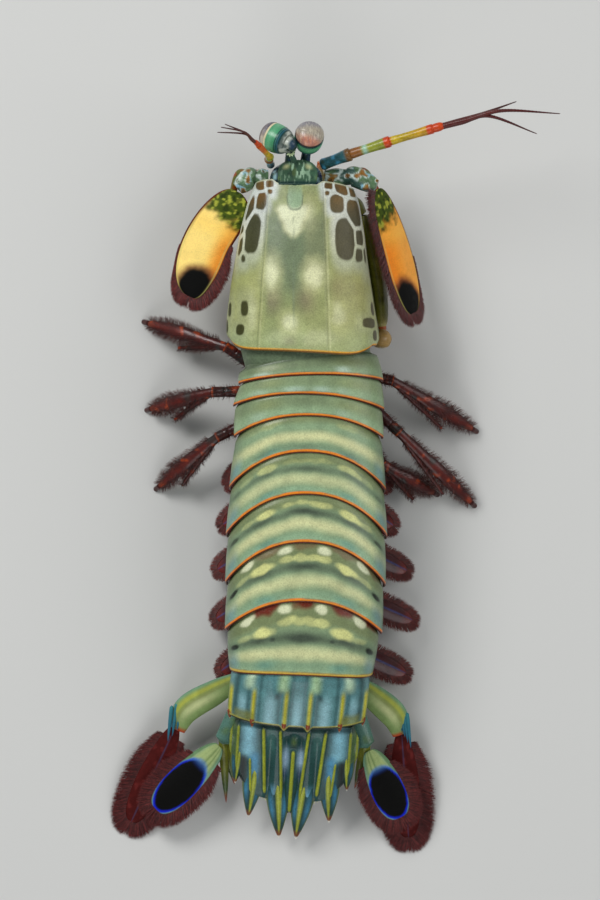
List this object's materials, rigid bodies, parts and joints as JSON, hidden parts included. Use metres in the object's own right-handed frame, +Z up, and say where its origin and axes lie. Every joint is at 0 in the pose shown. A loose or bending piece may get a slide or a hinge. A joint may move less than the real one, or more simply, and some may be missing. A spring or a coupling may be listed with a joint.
{
  "type": "mantis shrimp",
  "caption": "Still, life-size mantis shrimp with a jointed armoured body, stalked eyes, orange antennal scales, folded striking claws and a ridged, fringed tail fan.",
  "frame": {"origin": "the middle of the whole animal's box, on the floor that its feet and tail fan stand on", "axes": "+Y towards the head, +X to the animal's right, +Z up"},
  "size_m": [0.0962, 0.1614, 0.0502],
  "materials": {
    "shell_front": "satin, olive with pale and dark spots",
    "rostral_plate": "mottled green",
    "head": "blue-green",
    "underside": "pale, matt",
    "shell_thorax": "satin, green with an orange rear edge",
    "shell_abdomen": "satin, banded grey-green and cream with an orange rear edge",
    "tail_shell": "satin, teal with yellow ridges",
    "telson": "satin, dark teal with yellow ridges",
    "eyestalk": "glossy green",
    "cornea": "glossy, pearly pink",
    "antennule": "yellow and red rings",
    "antenna_base": "pale, mottled blue and green",
    "antennal_scale": "orange with a black spot and a maroon fringe",
    "claw": "olive, satin",
    "club": "orange-red, glossy",
    "small_limb": "olive, satin",
    "leg": "dark maroon, bristly",
    "swimmeret": "dark red, bristly",
    "tail_limb": "teal",
    "tail_fan": "maroon fringe on a teal limb",
    "tail_paddle": "black with a bright blue rim and a maroon fringe"
  },
  "bodies": {
    "root": {"carapace": "shell_front", "rostral_plate": "rostral_plate", "head": "head", "thorax_front": "underside", "thorax_6": "shell_thorax", "thorax_7": "shell_thorax", "thorax_8": "shell_thorax", "abdomen_6": "tail_shell", "telson": "telson", "abdomen_1": "shell_abdomen", "abdomen_2": "shell_abdomen", "abdomen_3": "shell_abdomen", "abdomen_4": "shell_abdomen", "abdomen_5": "shell_abdomen", "eyestalk_R": "eyestalk", "eye_R": "cornea", "antennule_R": "antennule", "antenna_R": "antenna_base", "antennal_scale_R": "antennal_scale", "merus_R": "claw", "propodus_R": "claw", "dactyl_R": "club", "uropod_base_R": "tail_limb", "uropod_exopod_R": "tail_fan", "uropod_endopod_R": "tail_paddle", "maxilliped_3_R": "small_limb", "maxilliped_4_R": "small_limb", "maxilliped_5_R": "small_limb", "leg_1_R": "leg", "leg_2_R": "leg", "leg_3_R": "leg", "pleopod_1_R": "swimmeret", "pleopod_2_R": "swimmeret", "pleopod_3_R": "swimmeret", "pleopod_4_R": "swimmeret", "pleopod_5_R": "swimmeret", "eyestalk_L": "eyestalk", "eye_L": "cornea", "antennule_L": "antennule", "antenna_L": "antenna_base", "antennal_scale_L": "antennal_scale", "merus_L": "claw", "propodus_L": "claw", "dactyl_L": "club", "uropod_base_L": "tail_limb", "uropod_exopod_L": "tail_fan", "uropod_endopod_L": "tail_paddle", "maxilliped_3_L": "small_limb", "maxilliped_4_L": "small_limb", "maxilliped_5_L": "small_limb", "leg_1_L": "leg", "leg_2_L": "leg", "leg_3_L": "leg", "pleopod_1_L": "swimmeret", "pleopod_2_L": "swimmeret", "pleopod_3_L": "swimmeret", "pleopod_4_L": "swimmeret", "pleopod_5_L": "swimmeret"}
  },
  "joints": []
}
